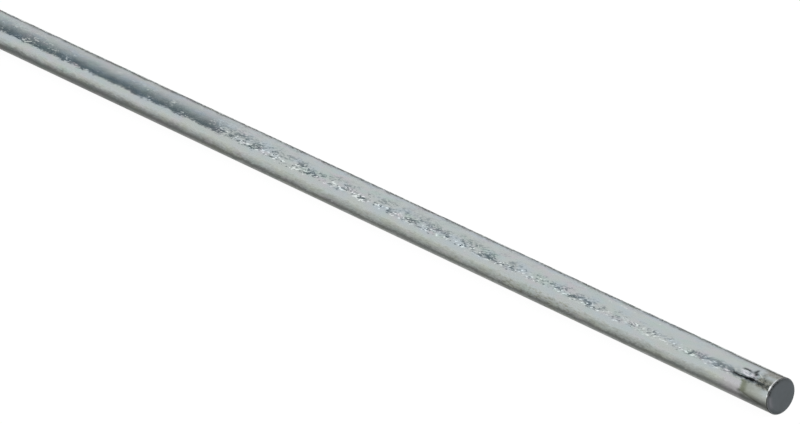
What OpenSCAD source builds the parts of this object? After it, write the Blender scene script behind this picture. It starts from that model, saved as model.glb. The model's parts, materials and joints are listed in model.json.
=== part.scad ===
// Plain round axle rod: one length of zinc-plated cold-drawn steel bar, cut square at both ends.
// The rod lies along X with its middle at the origin. The near end is at +X, the front is -Y.

/* [Rod] */
// Diameter of the bar
rod_d = 12.7; // [6:0.1:26]
// Overall length, from one cut face to the other
rod_len = 914.4; // [150:0.1:1830]

/* [Cut ends] */
// Radius that the cut leaves on the rim of each end face
rim_r = 0.3; // [0.1:0.05:1]

/* [Grip mark] */
// Distance from the near end face to the middle of the flat that a gripping jaw pressed into the bar
mark_from_end = 12.5; // [8:0.5:60]
// Length of the mark along the bar
mark_len = 9.5; // [4:0.5:14]
// Depth of the mark at its middle
mark_depth = 0.14; // [0.05:0.01:0.5]
// Turn of the mark about the bar, from the top towards the front
mark_turn = 39; // [-180:1:180]

/* [Hidden] */
$fn = 96;

rod_r = rod_d / 2;
// Radius of the jaw's nose, whose arc enters and leaves the bar's surface mark_len apart
jaw_r = (pow(mark_len / 2, 2) + pow(mark_depth, 2)) / (2 * mark_depth);
// Width of the jaw, wide enough to pass right across the bar
jaw_w = 2 * rod_d;
zinc = [0.70, 0.73, 0.73];

// Half of the bar's lengthwise section, radius across and length upwards from one end
module half_section() {
    square([rod_r - rim_r, rod_len]);
    translate([0, rim_r])
        square([rod_r, rod_len - 2 * rim_r]);
    for (rim_z = [rim_r, rod_len - rim_r])
        translate([rod_r - rim_r, rim_z])
            circle(rim_r);
}

// The bar as cut from stock, centred on the origin along X
module cut_bar() {
    translate([-rod_len / 2, 0, 0])
        rotate([0, 90, 0])
            rotate_extrude()
                half_section();
}

// The jaw that pressed the mark, with its nose mark_depth below the bar's surface
module jaw() {
    translate([rod_len / 2 - mark_from_end, 0, 0])
        rotate([mark_turn, 0, 0])
            translate([0, 0, rod_r - mark_depth + jaw_r])
                rotate([90, 0, 0])
                    cylinder(r = jaw_r, h = jaw_w, center = true);
}

module axle_rod() {
    color(zinc)
        difference() {
            cut_bar();
            jaw();
        }
}

axle_rod();
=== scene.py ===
import json
import math

import bpy
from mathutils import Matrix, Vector, noise


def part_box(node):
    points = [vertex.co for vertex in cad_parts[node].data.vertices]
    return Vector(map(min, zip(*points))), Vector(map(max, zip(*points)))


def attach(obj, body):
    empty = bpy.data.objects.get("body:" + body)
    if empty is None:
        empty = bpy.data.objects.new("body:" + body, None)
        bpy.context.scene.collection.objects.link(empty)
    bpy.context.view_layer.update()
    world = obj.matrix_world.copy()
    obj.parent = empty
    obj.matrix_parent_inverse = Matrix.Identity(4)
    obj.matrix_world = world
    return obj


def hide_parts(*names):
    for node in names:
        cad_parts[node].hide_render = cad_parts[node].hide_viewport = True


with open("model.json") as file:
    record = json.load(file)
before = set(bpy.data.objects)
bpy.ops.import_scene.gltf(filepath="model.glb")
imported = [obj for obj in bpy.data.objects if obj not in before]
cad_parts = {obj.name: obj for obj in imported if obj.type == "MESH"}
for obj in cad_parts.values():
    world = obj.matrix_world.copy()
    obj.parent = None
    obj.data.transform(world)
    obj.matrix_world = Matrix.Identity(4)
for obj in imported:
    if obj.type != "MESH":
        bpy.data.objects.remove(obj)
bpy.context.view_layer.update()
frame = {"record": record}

# Sizes in millimetres and degrees, unless a comment says otherwise; the bar's angles go from top to front
MM = 0.001
shaft = next(mount for mount in frame["record"]["mounts"] if mount["name"] == "shaft")
_, near_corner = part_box("axle_rod")
ROD_R = shaft["dims"]["r_mm"]
HALF_LEN = near_corner.x / MM
LENGTH = 2 * HALF_LEN
RIM_R = HALF_LEN - shaft["dims"]["length_mm"] / 2
FLAT_R = ROD_R - RIM_R

# The mesh is finest near the near end, and round the top front, where the marks are
NEAR_ZONE = 24
NEAR_STEP = 0.2
FAR_STEP = 3.0
RIM_STEPS = 6
FACE_RINGS = 9
FINE_FROM, FINE_TO = 8, 62
FINE_COUNT, COARSE_COUNT = 60, 139

# The flat that a jaw pressed into the bar
MARK_FROM_END = 12.5
MARK_LEN = 9.5
MARK_DEPTH = 0.14
MARK_TURN = 39
JAW_R = ((MARK_LEN / 2) ** 2 + MARK_DEPTH ** 2) / (2 * MARK_DEPTH)

# Depths, heights and lengths of the forms that are too fine for the solid
WAVE_DEPTH, FINE_WAVE_DEPTH = 0.010, 0.003
WAVE_LEN, FINE_WAVE_LEN = 28, 9
RIB_DEPTH = 0.03
FOLD_DEPTH = 0.03
NICK_DEPTH = 0.07
PIT_DEPTH = 0.05
BEAD_HEIGHT = 0.05
SAW_MARK_DEPTH, DISH_DEPTH = 0.012, 0.02
# How far apart the layers of noise are taken, so that none repeats another
LAYER_GAP = 7.31

# The camera looks at a point just above the axis
AIM_FROM_END = 183.3
AIM_BACK, AIM_UP = 0.92, 1.32
CAMERA_AZIMUTH, CAMERA_ELEVATION = 47.98, 25.03
CAMERA_DISTANCE = 2738.3
CAMERA_LENS, CAMERA_SENSOR = 367.26, 36


def smooth(start, end, value):
    """Eases from 0 at start to 1 at end. The start may be the larger of the two."""
    share = min(max((value - start) / (end - start), 0.0), 1.0)
    return share * share * (3 - 2 * share)


def hump(centre, half_width, value):
    """A bell of height 1 round the centre."""
    return math.exp(-((value - centre) / half_width) ** 2)


def grain(x, y, layer):
    """Smooth noise from -1 to 1; each layer is a different field."""
    return noise.noise(Vector((x, y, LAYER_GAP * layer)))


# Marks near the near end, mostly shares from 0 to 1, by angle and by distance u from the rim's inner edge


def crease(u, angle):
    """The fold along the lower edge of the pressed flat, painted black as its shade, with painted grey shade
    just below it.
    """
    centre = 49.6 - 2.6 * smooth(11, 8, u) + 0.8 * grain(u / 1.1, 0, 1)
    half_width = 1.9 + 3.6 * hump(8.6, 1.3, u) + 3.6 * smooth(8.6, 7, u) + 1.2 * grain(u / 0.8, 0, 10)
    half_width += 1.6 * hump(10.4, 0.9, u)
    core = (1.0 + 0.3 * hump(8.6, 1.3, u) + 0.4 * grain(u / 0.9, 3, 10)) * hump(centre, half_width, angle)
    core *= smooth(18.4, 15.4, u) * (0.44 * smooth(0.6, 2, u) + 0.56 * smooth(6.2, 8.6, u))
    # Painted grey shade just below the fold
    shade_below_fold = 0.38 * hump(centre - 2, 5, angle) * smooth(18.8, 15.8, u) * smooth(5, 8, u)
    return min(1.0, core + shade_below_fold)


def upper_nick(u, angle):
    """The short curved nick above the flat."""
    centre = 23.6 + 0.55 * (u - 12.4) ** 2
    half_width = 2.6 + 1.3 * grain(u / 0.9, 5, 10)
    return min(0.9, 1.15 * hump(centre, half_width, angle)) * smooth(9.8, 11.6, u) * smooth(15.0, 13.2, u)


def pits(u, angle):
    """Small dark pits, most of them round the nick and towards the end."""
    spots = ((8.7, 11.5, 0.55, 0.55), (8.7, 17, 0.6, 0.6), (9.2, 22.5, 0.65, 0.65), (8.0, 27.8, 0.8, 1.0),
             (10.0, 27.5, 0.5, 0.25), (5.3, 17, 0.6, 0.25), (3.6, 34.5, 0.6, 0.35), (4.5, 29, 0.5, 0.3),
             (3.4, 42, 0.5, 0.25), (1.6, 49, 0.7, 0.45), (1.0, 4, 0.45, 0.35), (5.9, 36, 0.5, 0.25),
             (13.3, 94, 0.4, 0.3), (12.5, 93.4, 0.55, 0.4))
    return min(1.0, sum(strength * hump(0, size, math.hypot(u - at, (angle - turn) * ROD_R * math.pi / 180))
                        for at, turn, size, strength in spots))


def lump(u, angle):
    """A small raised bead of pale metal between the flat and the end."""
    return hump(25, 4.5, angle) * hump(6.3 - 0.28 * (angle - 25), 0.55, u)


def flat_depth(u, angle):
    """How far the pressed flat lies below the round bar, or 0 outside it; u is from the end face."""
    across = math.radians(angle - MARK_TURN)
    if abs(u - MARK_FROM_END) > MARK_LEN / 2 or math.cos(across) <= 0:
        return 0.0
    floor = ROD_R - MARK_DEPTH + JAW_R - math.sqrt(JAW_R ** 2 - (u - MARK_FROM_END) ** 2)
    return max(0.0, ROD_R - floor / math.cos(across))


def scrape(u, angle):
    """The burnished, streaky metal inside the flat."""
    ragged = 0.9 * grain(u / 1.3, angle / 5, 2)
    along = smooth(15.6, 12.6, u + ragged) * smooth(6.3, 7.6, u + ragged)
    inside = along * smooth(26, 31, angle) * smooth(46, 41, angle)
    return inside * (0.85 + 1.7 * grain(u / 1.2 + angle / 7, angle / 2.2, 11))


def stain_edge(angle):
    """The distance u at which the olive stain stops."""
    wander = 0.5 * grain(angle / 9, 0, 3) + 0.4 * grain(angle / 3, 0, 4)
    if angle < 92:
        return 11.8 + 0.7 * smooth(78, 91, angle) + wander
    return 12.5 - 0.45 * (angle - 92) + wander


def stain(u, angle):
    """Thin olive film on the lower front, up to the stain's edge."""
    edge = stain_edge(angle)
    cloudy = 0.85 + 0.3 * grain(u / 2.5, angle / 10, 12)
    along = smooth(edge + 0.9, edge - 0.6, u) * (0.25 + 0.75 * smooth(0.8, 5.2, u))
    return cloudy * along * smooth(51, 58, angle) * smooth(122, 106, angle)


def tide_line(u, angle):
    """Darker olive band just inside the stain's edge, fading towards the end face."""
    inside = stain_edge(angle) - u
    reach = 0.35 * grain(u / 1.2, angle / 4, 15)
    band = 0.28 * smooth(7.0, 2.0, inside) + 0.72 * smooth(3.2, 1.0, inside + reach)
    band = min(1.0, band * (1 + 0.5 * smooth(80, 94, angle)))
    return band * smooth(-0.9, 0.6, inside) * smooth(53, 60, angle) * smooth(118, 106, angle)


def grime(u, angle):
    """Painted shade under the bar's front near the end."""
    ragged = 0.8 * grain(u / 1.7, angle / 6, 13)
    return smooth(86, 99, angle + 2 * ragged) * smooth(165, 140, angle) * smooth(14.2, 11.2, u + ragged)


def neutral_film(u, angle):
    """A neutral grey film on the lower side, beyond the stain."""
    along = 0.85 * smooth(11.2, 12.8, u) * smooth(23.5, 17, u)
    return along * smooth(60, 68, angle) * smooth(175, 160, angle)


def smudge(u, angle):
    """Olive-brown film on the upper front beside the end face."""
    ragged = 0.9 * grain(u / 2.2, angle / 8, 5) + 0.6 * grain(u / 0.7, angle / 4, 6)
    strength = 0.56 * smooth(-26, -10, angle) + 0.3 * smooth(22, 34, angle) + 0.17 * hump(5, 9, angle)
    strength -= 0.3 * hump(19, 8, angle) * smooth(4.6, 3.2, u)
    patchy = 0.9 + 0.2 * grain(u / 0.9, angle / 5, 14) + 0.55 * grain(u / 0.5, angle / 3, 16)
    film = 0.3 * hump(-13, 8, angle) * smooth(24, 12, u)
    return min(1.0, patchy * strength) * smooth(7.5, 5.0, u + ragged) * smooth(62, 55, angle) + film


def gleam(u, angle):
    """The stretch of the near rim that is polished and painted with a bright highlight; u is from the end
    face.
    """
    round_rim = 0.5 * smooth(8, 20, angle) * smooth(58, 53, angle) + 0.55 * hump(46, 6, angle)
    round_rim += 0.95 * hump(72, 3.5, angle) + 0.16 * smooth(-45, -25, angle) * smooth(20, 8, angle)
    round_rim *= 0.85 + 0.6 * grain(angle / 2.4, 0, 20)
    reach = 0.12 * hump(46, 7, angle) + 0.15 * grain(angle / 3, 0, 17)
    outer = smooth(0.05, 0.18, u - 0.12 * grain(angle / 2.5, 0, 19))
    return min(1.0, round_rim) * outer * smooth(0.42 + reach, 0.1 + reach, u - RIM_R)


def worn_edge(angle):
    """Dark teeth along the edge of the cut face, behind the bright rim."""
    return (0.55 + 0.8 * grain(angle / 3, 0, 18)) * smooth(2, 14, angle) * smooth(78, 66, angle)


def dark_edge(radius, angle):
    """How dark a cut face is towards its edge."""
    return smooth(4.6, FLAT_R, radius) * (0.4 * smooth(-70, 0, angle) + worn_edge(angle))


def crescent(radius, angle):
    """A paler crescent low on the front of the near face: a painted highlight, as a slight ridge would catch.
    """
    return hump(4.8, 0.7, radius) * smooth(70, 85, angle) * smooth(140, 112, angle)


def surface_offset(u, angle):
    """How far the skin stands proud of a true cylinder; u is from the end face."""
    turn = math.radians(angle)
    around = Vector((math.cos(turn), math.sin(turn), 0)) * 1.6
    offset = WAVE_DEPTH * noise.noise(around + Vector((0, 0, u / WAVE_LEN)))
    offset += FINE_WAVE_DEPTH * noise.noise(3 * around + Vector((0, 0, u / FINE_WAVE_LEN)))
    if u > NEAR_ZONE:
        return offset
    flat = flat_depth(u, angle)
    u -= RIM_R
    ribs = RIB_DEPTH * grain(u / 3.5, angle / 2.2, 8) * smooth(0, 0.05, flat)
    fold = FOLD_DEPTH * smooth(0.35, 0.9, crease(u, angle))
    scars = NICK_DEPTH * upper_nick(u, angle) + PIT_DEPTH * pits(u, angle)
    return offset - flat + ribs - fold - scars + BEAD_HEIGHT * lump(u, angle)


def face_offset(radius, angle):
    """Saw marks and a slight dishing on a cut face."""
    turn = math.radians(angle)
    across, up = radius * math.sin(turn), radius * math.cos(turn)
    saw_marks = SAW_MARK_DEPTH * grain(across / 3 + up / 9, up / 0.8, 9)
    return saw_marks - DISH_DEPTH * smooth(FLAT_R, 0, radius)


def signed(angle):
    """The same angle between -180 and 180."""
    return (angle + 180) % 360 - 180


def ring_angles():
    """Angles of the points of one ring, with the first repeated a turn later."""
    fine = [FINE_FROM + (FINE_TO - FINE_FROM) * i / FINE_COUNT for i in range(FINE_COUNT)]
    coarse = [FINE_TO + (360 + FINE_FROM - FINE_TO) * i / COARSE_COUNT for i in range(COARSE_COUNT + 1)]
    return fine + coarse


def profile():
    """The lengthwise section, far face to near one: (distance from the near end, radius, part)."""
    face = [(0.0, FLAT_R * (i + 1) / FACE_RINGS, "face") for i in range(FACE_RINGS)]
    rim = []
    for i in range(1, RIM_STEPS):
        turn = math.pi / 2 * i / RIM_STEPS
        rim.append((RIM_R * (1 - math.cos(turn)), FLAT_R + RIM_R * math.sin(turn), "rim"))
    near_len, far_len = NEAR_ZONE - RIM_R, LENGTH - NEAR_ZONE - RIM_R
    near_count, far_count = round(near_len / NEAR_STEP), round(far_len / FAR_STEP)
    near = [(RIM_R + near_len * i / near_count, ROD_R, "barrel") for i in range(near_count)]
    far = [(NEAR_ZONE + far_len * i / far_count, ROD_R, "barrel") for i in range(far_count + 1)]
    far_end = [(LENGTH - u, radius, part) for u, radius, part in reversed(face + rim)]
    return list(reversed(face + rim + near + far + far_end))


def rod_point(u, radius, part, angle):
    """Place of one point of the skin, in metres."""
    if part == "barrel":
        radius += surface_offset(u, signed(angle))
    elif part == "face":
        dish = face_offset(radius, angle)
        u += -dish if u < HALF_LEN else dish
    turn = math.radians(angle)
    return Vector((HALF_LEN - u, -radius * math.sin(turn), radius * math.cos(turn))) * MM


# The texture, in shares of its side: the skin as five strips, and the end faces in the space left above
STRIPS = 5
STRIP_HEIGHT, STRIP_PITCH = 0.176, 0.184
STRIP_MARGIN, STRIP_FOOT = 0.012, 0.003
DISC_R, DISC_HEIGHT = 0.032, 0.962
DISC_NEAR, DISC_FAR = 0.2, 0.4


def strip_uv(run, total, strip, turn_share):
    """Texture place of a point of the barrel or rim, from its run along the profile."""
    share = run / total * STRIPS - strip
    across = STRIP_MARGIN + (1 - 2 * STRIP_MARGIN) * share
    return across, STRIP_FOOT + STRIP_PITCH * strip + STRIP_HEIGHT * turn_share


def disc_uv(u, radius, angle):
    """Texture place of a point of an end face."""
    centre = DISC_NEAR if u < HALF_LEN else DISC_FAR
    turn = math.radians(angle)
    reach = DISC_R * radius / FLAT_R
    return centre + reach * math.sin(turn), DISC_HEIGHT + reach * math.cos(turn)


MARKS = {
    "crease": crease,
    "nick": upper_nick,
    "pits": pits,
    "scrape": scrape,
    "stain": stain,
    "tide": tide_line,
    "film": neutral_film,
    "grime": grime,
    "smudge": smudge,
    "bead": lump,
}


def point_shares(u, radius, part, angle):
    """All the shares that one point of the skin carries, by name."""
    near = u < NEAR_ZONE
    marked = near and part == "barrel"
    shares = {name: max(0.0, mark(u - RIM_R, angle)) if marked else 0.0 for name, mark in MARKS.items()}
    shares["rim"] = float(part == "rim")
    shares["gleam"] = max(0.0, gleam(u, angle)) if near and part != "face" else 0.0
    shares["edge"] = dark_edge(radius, angle) if part == "face" else 0.0
    shares["crescent"] = crescent(radius, angle) if near and part == "face" else 0.0
    return shares


def build_rod():
    """The plated bar with its two cut faces, as one closed mesh."""
    angles = ring_angles()
    count = len(angles) - 1
    section = profile()
    points = [rod_point(*station, angle) for station in section for angle in angles[:count]]
    ends = [len(points), len(points) + 1]
    points += [rod_point(u, 0.0, "face", 0.0) for u, _, _ in (section[0], section[-1])]

    runs = [0.0]
    for (u0, r0, _), (u1, r1, part) in zip(section, section[1:]):
        runs.append(runs[-1] + (0.0 if part == "face" and u0 == u1 else math.hypot(u1 - u0, r1 - r0)))

    faces, uvs, slots = [], [], []

    def add_face(corners, places, slot):
        faces.append(corners)
        uvs.extend(places)
        slots.append(slot)

    for i in range(len(section) - 1):
        on_face = section[i][2] == section[i + 1][2] == "face"
        middle = (runs[i] + runs[i + 1]) / 2
        strip = min(STRIPS - 1, int(middle / runs[-1] * STRIPS))
        for j in range(count):
            k = (j + 1) % count
            corners = (i * count + j, i * count + k, (i + 1) * count + k, (i + 1) * count + j)
            steps = ((i, j), (i, j + 1), (i + 1, j + 1), (i + 1, j))
            if on_face:
                places = [disc_uv(*section[a][:2], angles[b]) for a, b in steps]
            else:
                places = [strip_uv(runs[a], runs[-1], strip, (angles[b] - FINE_FROM) / 360) for a, b in steps]
            add_face(corners, places, 1 if on_face else 0)
    last = (len(section) - 1) * count
    for j in range(count):
        k = (j + 1) % count
        for end, ring, pair in ((0, 0, (k, j)), (1, last, (j, k))):
            u, radius, _ = section[0 if end == 0 else -1]
            sides = [angles[j + 1], angles[j]] if end == 0 else [angles[j], angles[j + 1]]
            places = [disc_uv(u, radius, side) for side in sides] + [disc_uv(u, 0.0, 0.0)]
            add_face((ring + pair[0], ring + pair[1], ends[end]), places, 1)

    mesh = bpy.data.meshes.new("plated_rod")
    mesh.from_pydata(points, [], faces)
    mesh.uv_layers.new(name="OFBake").data.foreach_set("uv", [value for place in uvs for value in place])
    mesh.polygons.foreach_set("material_index", slots)
    mesh.polygons.foreach_set("use_smooth", [True] * len(faces))
    turns = [signed(angle) for angle in angles[:count]]
    carried = [point_shares(*station, turn) for station in section for turn in turns]
    for name in carried[0]:
        values = [shares[name] for shares in carried] + [0.0, 0.0]
        mesh.attributes.new(name, "FLOAT", "POINT").data.foreach_set("value", values)
    mesh.update()
    rod = bpy.data.objects.new("plated_rod", mesh)
    bpy.context.scene.collection.objects.link(rod)
    return rod


# Materials


def add(tree, kind, inputs=None, **settings):
    """Adds a node, sets its properties, and sets or links its inputs by name or number."""
    made = tree.nodes.new(kind)
    for name, value in settings.items():
        setattr(made, name, value)
    for key, value in (inputs or {}).items():
        if isinstance(value, bpy.types.NodeSocket):
            tree.links.new(value, made.inputs[key])
        else:
            made.inputs[key].default_value = value
    return made


def calc(tree, operation, first, second=0.0, clamp=False):
    """A Math node's result."""
    return add(tree, "ShaderNodeMath", {0: first, 1: second}, operation=operation, use_clamp=clamp).outputs[0]


def vector(tree, operation, first, second):
    """A Vector Math node's vector result."""
    return add(tree, "ShaderNodeVectorMath", {0: first, 1: second}, operation=operation).outputs["Vector"]


def remap(tree, value, low, high, new_low, new_high):
    """A value moved from one range to another and held inside it."""
    ranges = {"Value": value, "From Min": low, "From Max": high, "To Min": new_low, "To Max": new_high}
    return add(tree, "ShaderNodeMapRange", ranges).outputs["Result"]


def blend(tree, share, first, second, mode="MIX"):
    """Two colours mixed by a share."""
    made = add(tree, "ShaderNodeMix", data_type="RGBA", blend_type=mode)
    sockets = {"Factor_Float": share, "A_Color": first, "B_Color": second}
    for key, value in sockets.items():
        socket = next(s for s in made.inputs if s.identifier == key)
        if isinstance(value, bpy.types.NodeSocket):
            tree.links.new(value, socket)
        else:
            socket.default_value = value
    return next(s for s in made.outputs if s.identifier == "Result_Color")


def cloud(tree, place, size, detail=2.0, roughness=0.5):
    """Noise whose grain has the given size in millimetres along and round the bar."""
    scaled = vector(tree, "MULTIPLY", place, tuple(1 / (MM * one) for one in size))
    settings = {"Vector": scaled, "Scale": 1.0, "Detail": detail, "Roughness": roughness}
    return add(tree, "ShaderNodeTexNoise", settings)


def cells(tree, place, size):
    """Random cells of the given size in millimetres along and round the bar."""
    scaled = vector(tree, "MULTIPLY", place, tuple(1 / (MM * one) for one in size))
    return add(tree, "ShaderNodeTexVoronoi", {"Vector": scaled, "Scale": 1.0}, feature="F1")


def mark_share(tree, name):
    """One of the marks stored on the mesh."""
    return add(tree, "ShaderNodeAttribute", attribute_name=name, attribute_type="GEOMETRY").outputs["Fac"]


def new_material(name):
    """An empty material with a metal shader joined to its output."""
    material = bpy.data.materials.new(name)
    material.use_nodes = True
    tree = material.node_tree
    tree.nodes.clear()
    shader = add(tree, "ShaderNodeBsdfPrincipled", {"Metallic": 1.0})
    add(tree, "ShaderNodeOutputMaterial", {"Surface": shader.outputs["BSDF"]})
    return material, tree, shader


ZINC = (0.472, 0.509, 0.509, 1)
LAVENDER = (0.496, 0.491, 0.516, 1)
SEA_GREEN = (0.439, 0.514, 0.496, 1)
SKY = (0.45, 0.506, 0.535, 1)
STRAW = (0.476, 0.512, 0.474, 1)
OLIVE = (0.36, 0.385, 0.345, 1)
SPECK = (0.31, 0.325, 0.275, 1)
DARK_OLIVE = (0.205, 0.225, 0.175, 1)
OLIVE_BROWN = (0.19, 0.183, 0.145, 1)
# Painted shade for the underside near the end
UNDERSIDE_SHADE = (0.15, 0.158, 0.152, 1)
SCRAPED = (0.72, 0.72, 0.76, 1)
CREAM = (0.60, 0.62, 0.57, 1)
# Near black: crust in the nick and pits, and the fold's painted shade
CRUST_AND_SHADE = (0.024, 0.026, 0.026, 1)
# Near white: the rim's polish and its painted highlight
BRIGHT = (0.93, 0.95, 0.97, 1)
# The rim: bare steel, painted darker than the cut faces as shade that keeps the lights' reflection off it
DARK_RIM = (0.045, 0.045, 0.048, 1)
DARK_STEEL = (0.09, 0.101, 0.106, 1)
PALE_STEEL = (0.112, 0.125, 0.135, 1)
STEEL_EDGE = (0.02, 0.021, 0.022, 1)
# The near face's painted highlight
STEEL_CRESCENT = (0.155, 0.158, 0.172, 1)

# The marks on the zinc, from the lowest layer to the top one: name, strength and colour
LAYERS = (
    ("film", 1.0, LAVENDER),
    ("stain", 1.0, OLIVE),
    ("tide", 1.0, DARK_OLIVE),
    # Painted shade under the bar near the end
    ("grime", 0.55, UNDERSIDE_SHADE),
    ("smudge", 1.0, OLIVE_BROWN),
    ("scrape", 1.0, SCRAPED),
    ("bead", 1.0, CREAM),
    ("nick", 1.0, CRUST_AND_SHADE),
    ("pits", 1.0, CRUST_AND_SHADE),
    # The fold's black is painted shade
    ("crease", 1.0, CRUST_AND_SHADE),
    # The rim's painted shade
    ("rim", 1.0, DARK_RIM),
    # The rim's painted highlight
    ("gleam", 1.0, BRIGHT),
)

# Sizes along and round the bar of the crystals, and of each cloud in the plating
SMALL_CRYSTAL = (1.1, 0.31, 0.31)
LARGE_CRYSTAL = (3.6, 0.9, 0.9)
PATCH_SIZE = (9, 3.5, 3.5)
SWAY_SIZE = (7, 2.5, 2.5)
RIPPLE_SIZE = (2.6, 0.8, 0.8)
FINE_SIZE = (1.6, 0.5, 0.5)
HUE_SIZE = (8.5, 3.2, 3.2)
SPECK_SIZE = (1.7, 0.55, 0.55)

# How much the crystals rise towards the near end
CRYSTAL_LEAN = 0.22
# How far the faces of the crystals tip, as shares of the skin's own direction
SMALL_TILT = (0.15, 0.15, 0.15)
LARGE_TILT = (0.10, 0.08, 0.08)
MEAN_TILT = (0.165, 0.0, 0.0)
# The share of that on smooth and on frosted plating
TILT_ALONG = 0.1, 1.0
TILT_AROUND = 0.5, 1.0
# One small crystal in five tips further along the bar
SPARKLE_TILT = 0.16
SPARKLE_RANGE = 0.78, 0.82
# A slow wave of the skin
SWAY = (0.20, 0.24, 0.24)
SWAY_ZONES = ((0, 0.2), (17, 0.2), (28, 1.0), (LENGTH, 1.0))
# A finer ripple on the lower side; heights here and below are above the axis
RIPPLE = 0.25
RIPPLE_HEIGHTS = 2, -1
# How far the polished rim with its painted highlight and the scraped flat lean towards the near end
WORN_TILTS = {"gleam": 0.2, "scrape": 0.1}
# How far the plating is frosted with crystals, by distance from the near end, and how much that varies
FROST_ZONES = (
    (0, 0.15), (18, 0.12), (34, 0.42), (48, 0.6), (58, 0.65), (98, 0.65), (104, 0.8), (110, 0.7),
    (130, 0.68), (137, 0.62), (180, 0.67), (205, 0.78), (237, 0.84), (256, 0.72), (266, 0.5),
    (276, 0.12), (335, 0.1), (350, 0.2), (395, 0.2), (520, 0.7), (700, 0.2), (LENGTH, 0.6),
)
PATCH_STRENGTH = 0.325
# How far the skin just in front of the crown leans towards the near end, likewise
CROWN_TILT = 0.09
CROWN_ZONES = (
    (0, 0.6), (9, 0.3), (13, 0.3), (16, 1.0), (45, 1.0), (75, 0.35), (150, 0.3), (175, 0.0), (LENGTH, 0.0),
)
CROWN_HEIGHTS = 4.8, 5.5
CROWN_FRONT = 1.0, 2.4
# How far the skin below the left end of the fold leans, likewise
FOLD_TILT = 0.06
FOLD_ZONES = ((0, 0.0), (12, 0.0), (13.5, 1.0), (17, 1.0), (19.5, 0.0), (LENGTH, 0.0))
FOLD_HEIGHTS = 3.75, 3.4
# How far the lower side is tinted straw, as a painted warm reflection, likewise
STRAW_ZONES = ((0, 0.25), (150, 0.3), (230, 0.1), (340, 0.0), (LENGTH, 0.1))
STRAW_HEIGHTS = 3, 1
# How far the lower side is specked with olive, likewise
SPECK_ZONES = (
    (0, 0.15), (30, 0.2), (60, 0.35), (86, 0.4), (94, 0.75), (122, 0.8), (130, 0.3), (LENGTH, 0.2),
)
SPECK_HEIGHTS = 2.4, 0.6
SPECK_RANGE = 0.51, 0.61
# The patches of colour. Sky blue is weaker low on the bar, and straw is weaker high on it, which paints a
# warm reflection on the lower side
HUE_RANGE = 0.5, 0.7
SKY_RANGE, SKY_LOW = (0.5, 0.68), 0.3
STRAW_RANGE, STRAW_HIGH = (0.5, 0.32), 0.4
LOW_HEIGHTS = 3.5, -1
# Roughness of smooth and of frosted plating, and what the marks add to it
PLATE_ROUGHNESS = 0.17, 0.125
WORN_ROUGHNESS = {"scrape": 0.2, "stain": 0.1}
# The finest unevenness, as bump: its depth, and its strength on the zinc and on the cut faces
BUMP_DEPTH = 0.02
ZINC_BUMP, STEEL_BUMP = 0.6, 0.5
# The cut faces: sizes of their shading and of their saw marks, and the range of their roughness
STEEL_CLOUD = (3, 3, 3)
SAW_MARK_SIZE = (1, 2.5, 0.25)
STEEL_ROUGHNESS = 0.42, 0.55
# Where most of a cloud's values lie
CLOUD_MIDDLE = 0.3, 0.7


def ramp(tree, share, stops):
    """A colour that follows the given (share, colour) stops."""
    made = add(tree, "ShaderNodeValToRGB", {"Fac": share})
    elements = made.color_ramp.elements
    while len(elements) < len(stops):
        elements.new(0.5)
    for element, (position, colour) in zip(elements, stops):
        element.position = position
        element.color = (*colour, 1)
    return made.outputs["Color"]


def along_ramp(tree, place, zones):
    """A value that changes along the bar, from pairs of distance from the near end and value."""
    x = add(tree, "ShaderNodeSeparateXYZ", {0: place}).outputs["X"]
    share = remap(tree, x, HALF_LEN * MM, -HALF_LEN * MM, 0.0, 1.0)
    stops = [(distance / LENGTH, (value,) * 3) for distance, value in zones]
    return ramp(tree, share, stops)


def by_height(tree, spot, heights, amount=1.0):
    """Goes from 0 at the first height to the amount at the second."""
    start, end = heights
    return remap(tree, spot["Z"], start * MM, end * MM, 0.0, amount)


def centred(tree, colour):
    """A random colour as a vector round zero."""
    return vector(tree, "SUBTRACT", colour, (0.5, 0.5, 0.5))


def along_bar(tree, value):
    """A vector of the given size along the bar."""
    return add(tree, "ShaderNodeCombineXYZ", {"X": value}).outputs["Vector"]


def crystal_tilt(tree, slanted, frost):
    """How the faces of the crystals tip, more on frosted plating than on smooth."""
    small = cells(tree, slanted, SMALL_CRYSTAL).outputs["Color"]
    large = cells(tree, slanted, LARGE_CRYSTAL).outputs["Color"]
    small_tilt = vector(tree, "MULTIPLY", centred(tree, small), SMALL_TILT)
    large_tilt = vector(tree, "MULTIPLY", centred(tree, large), LARGE_TILT)
    tilt = vector(tree, "ADD", vector(tree, "ADD", small_tilt, large_tilt), MEAN_TILT)
    red = add(tree, "ShaderNodeSeparateColor", {0: small}).outputs["Red"]
    sparkle = remap(tree, red, *SPARKLE_RANGE, 0.0, SPARKLE_TILT)
    tilt = vector(tree, "ADD", tilt, along_bar(tree, sparkle))
    along = remap(tree, frost, 0.0, 1.0, *TILT_ALONG)
    around = remap(tree, frost, 0.0, 1.0, *TILT_AROUND)
    size = add(tree, "ShaderNodeCombineXYZ", {"X": along, "Y": around, "Z": around})
    return vector(tree, "MULTIPLY", tilt, size.outputs["Vector"])


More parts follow.
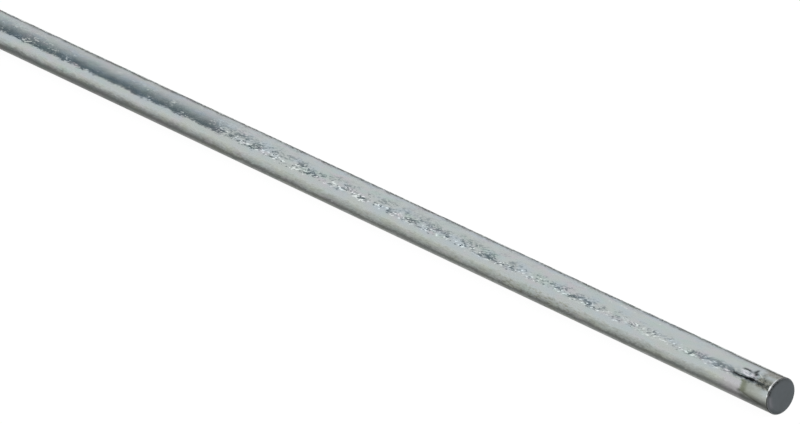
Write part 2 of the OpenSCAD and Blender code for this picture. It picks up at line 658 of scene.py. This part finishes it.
def skin_tilt(tree, place, spot, frost):
    """How the plating's skin tips: its crystals, its waves, and its worn places."""
    lean = calc(tree, "SUBTRACT", spot["Z"], calc(tree, "MULTIPLY", spot["X"], CRYSTAL_LEAN))
    slanted = add(tree, "ShaderNodeCombineXYZ", {"X": spot["X"], "Y": spot["Y"], "Z": lean}).outputs["Vector"]
    tilt = crystal_tilt(tree, slanted, frost)

    wave = centred(tree, cloud(tree, slanted, SWAY_SIZE).outputs["Color"])
    wave = vector(tree, "MULTIPLY", wave, along_ramp(tree, place, SWAY_ZONES))
    tilt = vector(tree, "ADD", tilt, vector(tree, "MULTIPLY", wave, SWAY))

    crown = by_height(tree, spot, CROWN_HEIGHTS, CROWN_TILT)
    crown = calc(tree, "MULTIPLY", along_ramp(tree, place, CROWN_ZONES), crown)
    front = remap(tree, spot["Y"], *(-one * MM for one in CROWN_FRONT), 0.0, 1.0)
    tilt = vector(tree, "ADD", tilt, along_bar(tree, calc(tree, "MULTIPLY", crown, front)))

    under_fold = by_height(tree, spot, FOLD_HEIGHTS, FOLD_TILT)
    under_fold = calc(tree, "MULTIPLY", along_ramp(tree, place, FOLD_ZONES), under_fold)
    tilt = vector(tree, "ADD", tilt, along_bar(tree, under_fold))

    ripple = centred(tree, cloud(tree, place, RIPPLE_SIZE, detail=3.0).outputs["Color"])
    lower = by_height(tree, spot, RIPPLE_HEIGHTS, RIPPLE)
    depth = add(tree, "ShaderNodeCombineXYZ", {"Y": lower, "Z": lower}).outputs["Vector"]
    tilt = vector(tree, "ADD", tilt, vector(tree, "MULTIPLY", ripple, depth))

    for name, amount in WORN_TILTS.items():
        worn = calc(tree, "MULTIPLY", mark_share(tree, name), amount)
        tilt = vector(tree, "ADD", tilt, along_bar(tree, worn))
    return tilt


def zinc_colour(tree, place, spot):
    """Soft patches of five pale colours, then the specks, and the marks in their layers."""
    hue = add(tree, "ShaderNodeSeparateColor", {0: cloud(tree, place, HUE_SIZE).outputs["Color"]}).outputs
    low = by_height(tree, spot, LOW_HEIGHTS)
    sky = remap(tree, hue["Blue"], *SKY_RANGE, 0.0, 1.0)
    sky = calc(tree, "MULTIPLY", sky, remap(tree, low, 0.0, 1.0, 1.0, SKY_LOW))
    straw = remap(tree, hue["Blue"], *STRAW_RANGE, 0.0, 1.0)
    straw = calc(tree, "MULTIPLY", straw, remap(tree, low, 0.0, 1.0, STRAW_HIGH, 1.0))
    # A painted warm reflection on the lower side
    warm_low_reflection = by_height(tree, spot, STRAW_HEIGHTS)
    warm_low_reflection = calc(tree, "MULTIPLY", along_ramp(tree, place, STRAW_ZONES), warm_low_reflection)
    straw = calc(tree, "ADD", straw, warm_low_reflection, clamp=True)
    colour = blend(tree, remap(tree, hue["Red"], *HUE_RANGE, 0.0, 1.0), ZINC, LAVENDER)
    colour = blend(tree, remap(tree, hue["Green"], *HUE_RANGE, 0.0, 1.0), colour, SEA_GREEN)
    colour = blend(tree, sky, colour, SKY)
    colour = blend(tree, straw, colour, STRAW)

    specks = cloud(tree, place, SPECK_SIZE, detail=3.0).outputs["Fac"]
    specks = remap(tree, specks, *SPECK_RANGE, 0.0, 1.0)
    specks = calc(tree, "MULTIPLY", specks, along_ramp(tree, place, SPECK_ZONES))
    specks = calc(tree, "MULTIPLY", specks, by_height(tree, spot, SPECK_HEIGHTS))
    colour = blend(tree, specks, colour, SPECK)

    for name, strength, layer in LAYERS:
        share = calc(tree, "MULTIPLY", mark_share(tree, name), strength)
        colour = blend(tree, share, colour, layer)
    return colour


def zinc_plate():
    """Mottled zinc plating with its stains and scars."""
    material, tree, shader = new_material("zinc_plate")
    place = add(tree, "ShaderNodeTexCoord").outputs["Object"]
    spot = add(tree, "ShaderNodeSeparateXYZ", {0: place}).outputs
    patches = cloud(tree, place, PATCH_SIZE, detail=4.0, roughness=0.65).outputs["Fac"]
    patches = remap(tree, patches, *CLOUD_MIDDLE, -PATCH_STRENGTH, PATCH_STRENGTH)
    frost = calc(tree, "ADD", along_ramp(tree, place, FROST_ZONES), patches, clamp=True)

    fine = cloud(tree, place, FINE_SIZE, detail=3.0).outputs["Fac"]
    bump = add(tree, "ShaderNodeBump", {"Height": fine, "Distance": BUMP_DEPTH * MM, "Strength": ZINC_BUMP})
    tipped = vector(tree, "ADD", bump.outputs["Normal"], skin_tilt(tree, place, spot, frost))
    normal = add(tree, "ShaderNodeVectorMath", {0: tipped}, operation="NORMALIZE").outputs["Vector"]
    tree.links.new(normal, shader.inputs["Normal"])
    tree.links.new(zinc_colour(tree, place, spot), shader.inputs["Base Color"])

    rough = remap(tree, frost, 0.0, 1.0, *PLATE_ROUGHNESS)
    for name, amount in WORN_ROUGHNESS.items():
        rough = calc(tree, "ADD", rough, calc(tree, "MULTIPLY", mark_share(tree, name), amount))
    tree.links.new(rough, shader.inputs["Roughness"])
    return material


def cut_steel():
    """Dark bare steel of the cut faces."""
    material, tree, shader = new_material("cut_steel")
    place = add(tree, "ShaderNodeTexCoord").outputs["Object"]
    shade = cloud(tree, place, STEEL_CLOUD, detail=3.0).outputs["Fac"]
    colour = blend(tree, remap(tree, shade, *CLOUD_MIDDLE, 0.0, 1.0), DARK_STEEL, PALE_STEEL)
    colour = blend(tree, mark_share(tree, "edge"), colour, STEEL_EDGE)
    colour = blend(tree, mark_share(tree, "crescent"), colour, STEEL_CRESCENT)
    tree.links.new(colour, shader.inputs["Base Color"])
    marks = cloud(tree, place, SAW_MARK_SIZE).outputs["Fac"]
    bump = add(tree, "ShaderNodeBump", {"Height": marks, "Distance": BUMP_DEPTH * MM, "Strength": STEEL_BUMP})
    tree.links.new(bump.outputs["Normal"], shader.inputs["Normal"])
    tree.links.new(remap(tree, shade, *CLOUD_MIDDLE, *STEEL_ROUGHNESS), shader.inputs["Roughness"])
    return material


# Stage, lights and camera
LIGHT_FROM_END = 195
LIGHT_CENTRE = Vector((HALF_LEN - LIGHT_FROM_END, 0, 0)) * MM
# The floor, its size in metres, and the world as a light
FLOOR_SIZE = 60
FLOOR_COLOUR = (0.66, 0.655, 0.645, 1)
FLOOR_SHADOW_SHARE = 0.10
FLOOR_GLOW = 0.95
WORLD_LIGHT = 0.7

# Lights: name, offset from the light centre, width and height, all three in metres, and radiance
LIGHTS = (
    ("main", (0.6, 1.22, 1.18), 1.4, 2.0, 0.6),
    ("strip", (-0.27, -1.13, 0.97), 0.26, 0.8, 0.7),
)

# Three grey cards: two for the dark things that the metal mirrors, and a mat under the bar that is a painted
# shadow for the metal to mirror; the rest of its surroundings is white

# The left card's colour, by the angle from the front horizon over the top to the rear one
LEFT_CARD = (
    (0, (1.0, 1.0, 1.0)),
    (24.5, (1.0, 1.0, 1.0)),
    (31.5, (0.148, 0.185, 0.206)),
    (46, (0.173, 0.217, 0.246)),
    (58, (0.26, 0.30, 0.325)),
    (82, (0.49, 0.53, 0.55)),
    (109, (0.78, 0.78, 0.805)),
    (141, (0.87, 0.85, 0.87)),
    (156, (0.63, 0.63, 0.63)),
    (168, (0.16, 0.16, 0.16)),
    (180, (0.20, 0.20, 0.20)),
)
# How far off it stands, and how far from the axis it fades into the rear card, in metres
LEFT_AWAY = 6
LEFT_FADE = 8.8, 11.2
# That fading edge is rounded: towards its top and foot it comes in, between two angles, by a share
LEFT_TOP = (80, 112), 0.26
LEFT_FOOT = (52, 34), 0.07
# The rear card's colour, by the same angle: dark only along the floor
REAR_CARD = (
    (125, (1.0, 1.0, 1.0)),
    (141, (0.93, 0.92, 0.95)),
    (156, (0.60, 0.60, 0.60)),
    (168, (0.19, 0.19, 0.19)),
    (180, (0.38, 0.38, 0.38)),
)
# How far off it stands, and the height and half width of both upright cards, in metres
REAR_AWAY = 12
CARD_SIZE = 13
# The mat under the bar, a painted shadow for the metal to mirror, by distance from the bar's axis: its level
# towards the far end and the near one
SHADOW_MAT_HALF_WIDTH = 60
SHADOW_MAT_OVERHANG, SHADOW_MAT_LIFT = 60, 0.1
SHADOW_MAT = (
    (0, 0.40, 0.55),
    (4.0, 0.36, 0.49),
    (6.4, 0.235, 0.28),
    (7.6, 0.215, 0.25),
    (8.8, 0.26, 0.33),
    (10.4, 0.34, 0.52),
    (14, 0.58, 0.66),
    (21, 0.88, 0.80),
    (46, 0.95, 0.96),
    (60, 1.0, 1.0),
)
SHADOW_MAT_TINT = (1.01, 1.0, 0.975)
# Where the far level gives way to the near one, as shares of the bar's half length
SHADOW_MAT_CHANGE = 0.28, 0.5


def build_floor():
    """A very large pale floor under the bar. Seen directly it is near white, with the bar's shadow kept."""
    half = FLOOR_SIZE / 2
    height = -ROD_R * MM
    mesh = bpy.data.meshes.new("floor")
    corners = ((-half, -half), (half, -half), (half, half), (-half, half))
    mesh.from_pydata([(x, y, height) for x, y in corners], [], [(0, 1, 2, 3)])
    floor = bpy.data.objects.new("floor", mesh)
    bpy.context.scene.collection.objects.link(floor)

    material = bpy.data.materials.new("pale_floor")
    material.use_nodes = True
    tree = material.node_tree
    tree.nodes.clear()
    plain = add(tree, "ShaderNodeBsdfDiffuse", {"Color": FLOOR_COLOUR})
    shadow = add(tree, "ShaderNodeBsdfDiffuse", {"Color": (FLOOR_SHADOW_SHARE,) * 3 + (1,)})
    glow = add(tree, "ShaderNodeEmission", {"Color": (1, 1, 1, 1), "Strength": FLOOR_GLOW})
    seen = add(tree, "ShaderNodeAddShader", {0: shadow.outputs[0], 1: glow.outputs[0]})
    choice = {0: seen_or_mirrored(tree), 1: plain.outputs[0], 2: seen.outputs[0]}
    mix = add(tree, "ShaderNodeMixShader", choice)
    add(tree, "ShaderNodeOutputMaterial", {"Surface": mix.outputs[0]})
    mesh.materials.append(material)
    return floor


def seen_or_mirrored(tree):
    """1 for rays from the camera, from a glossy surface or through glass, and 0 for the rest."""
    path = add(tree, "ShaderNodeLightPath").outputs
    mirrored = calc(tree, "MAXIMUM", path["Is Glossy Ray"], path["Is Transmission Ray"])
    return calc(tree, "MAXIMUM", path["Is Camera Ray"], mirrored)


def build_world():
    """White surroundings, a little dimmer as a light."""
    world = bpy.data.worlds.new("studio")
    world.use_nodes = True
    tree = world.node_tree
    tree.nodes.clear()
    light = add(tree, "ShaderNodeBackground", {"Color": (WORLD_LIGHT,) * 3 + (1,)})
    white = add(tree, "ShaderNodeBackground", {"Color": (1, 1, 1, 1)})
    choice = {0: seen_or_mirrored(tree), 1: light.outputs[0], 2: white.outputs[0]}
    mix = add(tree, "ShaderNodeMixShader", choice)
    add(tree, "ShaderNodeOutputWorld", {"Surface": mix.outputs[0]})
    bpy.context.scene.world = world


def card(name, origin, corners, shade):
    """A flat card that only reflections see. The shade is a colour made from the card's own coordinates."""
    mesh = bpy.data.meshes.new(name)
    mesh.from_pydata(corners, [], [(0, 1, 2, 3)])
    made = bpy.data.objects.new(name, mesh)
    made.location = origin
    made.visible_camera = made.visible_shadow = made.visible_diffuse = False
    bpy.context.scene.collection.objects.link(made)
    material = bpy.data.materials.new(name)
    material.use_nodes = True
    tree = material.node_tree
    tree.nodes.clear()
    own = add(tree, "ShaderNodeTexCoord").outputs["Object"]
    place = add(tree, "ShaderNodeSeparateXYZ", {0: own}).outputs
    glow = add(tree, "ShaderNodeEmission", {"Color": shade(tree, place)})
    add(tree, "ShaderNodeOutputMaterial", {"Surface": glow.outputs[0]})
    mesh.materials.append(material)
    return made


def front_angle(tree, y, z):
    """The angle from the front horizon over the top to the rear one, in radians."""
    return calc(tree, "ARCTAN2", z, calc(tree, "MULTIPLY", y, -1.0))


def by_angle(tree, y, z, stops):
    """A colour by that angle."""
    share = remap(tree, front_angle(tree, y, z), 0.0, math.pi, 0.0, 1.0)
    return ramp(tree, share, [(degrees / 180, colour) for degrees, colour in stops])


def left_shade(tree, place):
    """The left card's colour."""
    y, z = place["Y"], place["Z"]
    squares = calc(tree, "ADD", calc(tree, "POWER", y, 2.0), calc(tree, "POWER", z, 2.0))
    angle = front_angle(tree, y, z)
    top, foot = [remap(tree, angle, *map(math.radians, angles), 0.0, amount)
                 for angles, amount in (LEFT_TOP, LEFT_FOOT)]
    rounding = calc(tree, "ADD", calc(tree, "MAXIMUM", top, foot), 1.0)
    away = calc(tree, "MULTIPLY", calc(tree, "SQRT", squares), rounding)
    fade = remap(tree, away, *LEFT_FADE, 0.0, 1.0)
    return blend(tree, fade, by_angle(tree, y, z, LEFT_CARD), by_angle(tree, y, z, REAR_CARD))


def rear_shade(tree, place):
    """The rear card's colour."""
    return by_angle(tree, calc(tree, "ADD", place["Y"], float(REAR_AWAY)), place["Z"], REAR_CARD)


def shadow_mat_stops(end):
    """The painted shadow's stops towards one end of the bar: 1 for the far end and 2 for the near one."""
    return [(stop[0] / SHADOW_MAT_HALF_WIDTH, tuple(stop[end] * tint for tint in SHADOW_MAT_TINT)) for stop in SHADOW_MAT]


def shadow_mat_shade(tree, place):
    """The mat's colour: a painted shadow of the bar."""
    share = remap(tree, calc(tree, "ABSOLUTE", place["Y"]), 0.0, SHADOW_MAT_HALF_WIDTH * MM, 0.0, 1.0)
    far, near = [ramp(tree, share, shadow_mat_stops(end)) for end in (1, 2)]
    change = remap(tree, place["X"], *(one * HALF_LEN * MM for one in SHADOW_MAT_CHANGE), 0.0, 1.0)
    return blend(tree, change, far, near)


def build_cards():
    """The left card, the rear card and the mat of painted shadow."""
    floor, top = -ROD_R * MM, CARD_SIZE
    upright = [(0, -CARD_SIZE, floor), (0, CARD_SIZE, floor), (0, CARD_SIZE, top), (0, -CARD_SIZE, top)]
    left = card("left_card", LIGHT_CENTRE - Vector((LEFT_AWAY, 0, 0)), upright, left_shade)
    across = [(y, 0, z) for _, y, z in upright]
    rear = card("rear_card", LIGHT_CENTRE + Vector((0, REAR_AWAY, 0)), across, rear_shade)
    width, far = SHADOW_MAT_HALF_WIDTH * MM, -(HALF_LEN + SHADOW_MAT_OVERHANG) * MM
    flat = [(far, -width, 0), (HALF_LEN * MM, -width, 0), (HALF_LEN * MM, width, 0), (far, width, 0)]
    # A mat of painted shadow that only reflections see
    mat = card("mat", (0, 0, floor + SHADOW_MAT_LIFT * MM), flat, shadow_mat_shade)
    return left, rear, mat


def soft_light(name, offset, width, height, radiance):
    """A flat light of even radiance that faces the bar from the given offset; sizes in metres."""
    lamp = bpy.data.lights.new(name, "AREA")
    lamp.shape = "RECTANGLE"
    lamp.size, lamp.size_y = width, height
    lamp.energy = radiance * math.pi * width * height
    lit = bpy.data.objects.new(name, lamp)
    offset = Vector(offset)
    lit.location = LIGHT_CENTRE + offset
    lit.rotation_euler = (-offset).to_track_quat("-Z", "Y").to_euler()
    lit.visible_camera = False
    bpy.context.scene.collection.objects.link(lit)


def build_lights():
    """The main light above and behind, and a strip that the crystals catch."""
    for light in LIGHTS:
        soft_light(*light)


def build_camera():
    """A long lens without any roll, at the photograph's angle."""
    data = bpy.data.cameras.new("camera")
    data.lens = CAMERA_LENS
    data.sensor_width = CAMERA_SENSOR
    camera = bpy.data.objects.new("camera", data)
    bpy.context.scene.collection.objects.link(camera)
    turn, rise = math.radians(CAMERA_AZIMUTH), math.radians(CAMERA_ELEVATION)
    back = Vector((math.sin(turn) * math.cos(rise), -math.cos(turn) * math.cos(rise), math.sin(rise)))
    aim = Vector((HALF_LEN - AIM_FROM_END, AIM_BACK, AIM_UP)) * MM
    camera.location = aim + back * CAMERA_DISTANCE * MM
    camera.rotation_euler = (-back).to_track_quat("-Z", "Y").to_euler()
    bpy.context.scene.camera = camera


build_camera()
build_world()
build_lights()
build_floor()
for one in build_cards():
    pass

rod = build_rod()
rod.data.materials.append(zinc_plate())
rod.data.materials.append(cut_steel())
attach(rod, "root")
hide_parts("axle_rod")

bpy.context.scene.view_settings.view_transform = "Standard"
